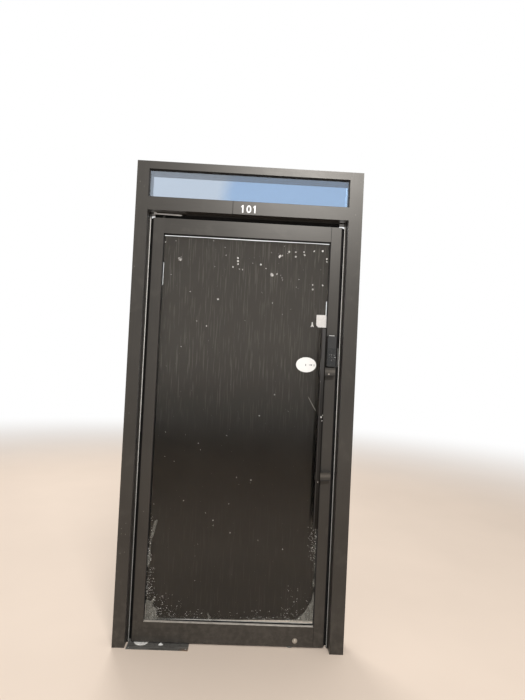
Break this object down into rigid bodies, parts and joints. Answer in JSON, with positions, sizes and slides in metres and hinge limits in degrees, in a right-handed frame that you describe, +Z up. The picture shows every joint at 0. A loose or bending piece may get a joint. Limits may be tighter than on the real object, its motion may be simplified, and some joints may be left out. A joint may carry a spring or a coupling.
{
  "type": "glass entrance door",
  "caption": "Single-leaf glass entrance door in a dark metal frame with a transom light, on a floor closer, with pull bars, keypad lock, floor bolt and brush seals.",
  "frame": {"origin": "on the finished floor, on the pivot axis of the leaf and the leaf's middle plane", "axes": "+X across the opening from the pivot side to the lock side, +Y to the inner side, +Z up"},
  "size_m": [1.126, 0.156, 2.437],
  "materials": {
    "frame_finish": "satin dark warm grey, lightly worn",
    "clear_glass": "clear polished",
    "film": "near-black film, seen through the glass",
    "gasket": "matt black",
    "pile": "grey pile",
    "dark_pile": "black pile",
    "plain_aluminium": "mill finish",
    "steel": "bright steel",
    "worn_plate": "worn, scratched",
    "cast_iron": "painted casting",
    "bearing_brass": "turned bronze",
    "pale_ring": "pale plastic",
    "black_bar": "dark satin, chipped",
    "lock_finish": "dark satin",
    "keypad": "dark smooth touch plate",
    "plug_metal": "nickel-plated brass",
    "white_vinyl": "white film",
    "sign_white": "white with plain marks",
    "paper": "white, torn"
  },
  "bodies": {
    "frame": {"jamb_left": "frame_finish", "jamb_right": "frame_finish", "head_rail": "frame_finish", "transom_bar": "frame_finish", "transom_cladding": "frame_finish", "transom_glass": "clear_glass", "transom_gasket_front": "gasket", "transom_gasket_rear": "gasket", "transom_setting_blocks": "gasket", "frame_cleats": "plain_aluminium", "frame_screws": "steel", "plate_screws": "steel", "door_number": "white_vinyl", "brush_carrier_left": "frame_finish", "brush_carrier_right": "frame_finish", "brush_carrier_top": "frame_finish", "brush_pile_left": "pile", "brush_pile_right": "pile", "brush_pile_top": "dark_pile", "strike_keeper": "steel", "top_pivot_plate": "steel", "top_pivot_pin": "steel", "floor_case": "steel", "closer_body": "cast_iron", "closer_bolts": "steel", "spindle_bearing": "bearing_brass", "cover_plate": "worn_plate", "spindle_ring": "pale_ring", "floor_bolt_socket": "steel"},
    "leaf": {"hinge_stile": "frame_finish", "lock_stile": "frame_finish", "top_rail": "frame_finish", "bottom_rail": "frame_finish", "corner_blocks": "plain_aluminium", "leaf_screws": "steel", "door_glass": "clear_glass", "dark_film": "film", "glazing_gasket_front": "gasket", "glazing_gasket_rear": "gasket", "setting_blocks": "gasket", "top_pivot_socket": "steel", "bottom_arm": "steel", "floor_spindle": "steel", "pull_bar_outer": "black_bar", "pull_bar_inner": "black_bar", "handle_brackets_outer": "frame_finish", "handle_brackets_inner": "frame_finish", "handle_bolts": "steel", "bar_end_caps": "black_bar", "lock_case": "steel", "lock_front_body": "lock_finish", "keypad_plate": "keypad", "lock_back_body": "lock_finish", "floor_lock_case": "steel", "oval_sign": "sign_white", "paper_labels": "paper"},
    "thumbturn": {"thumbturn": "lock_finish"},
    "deadbolt": {"deadbolt": "steel"},
    "floor_lock_plug": {"floor_lock_plug": "plug_metal"},
    "floor_bolt": {"floor_bolt": "steel"}
  },
  "joints": [
    {"name": "leaf_swing", "type": "hinge", "parent": "frame", "child": "leaf", "pos_m": [0, 0, 0], "axis": [0, 0, 1], "range_deg": [-90, 90], "stiffness_Nm_per_rad": 16},
    {"name": "deadbolt_throw", "type": "slide", "parent": "leaf", "child": "deadbolt", "axis": [1, 0, 0], "range_m": [0, 0.02]},
    {"name": "thumbturn_turn", "type": "hinge", "parent": "leaf", "child": "thumbturn", "pos_m": [0.8825, 0, 1.4945], "axis": [0, 1, 0], "range_deg": [0, 90]},
    {"name": "floor_bolt_drop", "type": "slide", "parent": "leaf", "child": "floor_bolt", "axis": [0, 0, -1], "range_m": [0, 0.025]},
    {"name": "key_plug_turn", "type": "hinge", "parent": "leaf", "child": "floor_lock_plug", "pos_m": [0.759, 0, 0.038], "axis": [0, 1, 0], "range_deg": [0, 90]}
  ],
  "couplings": [
    {"joint": "thumbturn_turn", "follows": "deadbolt_throw", "rad_per_m": 78.539},
    {"joint": "key_plug_turn", "follows": "floor_bolt_drop", "rad_per_m": 62.831}
  ]
}
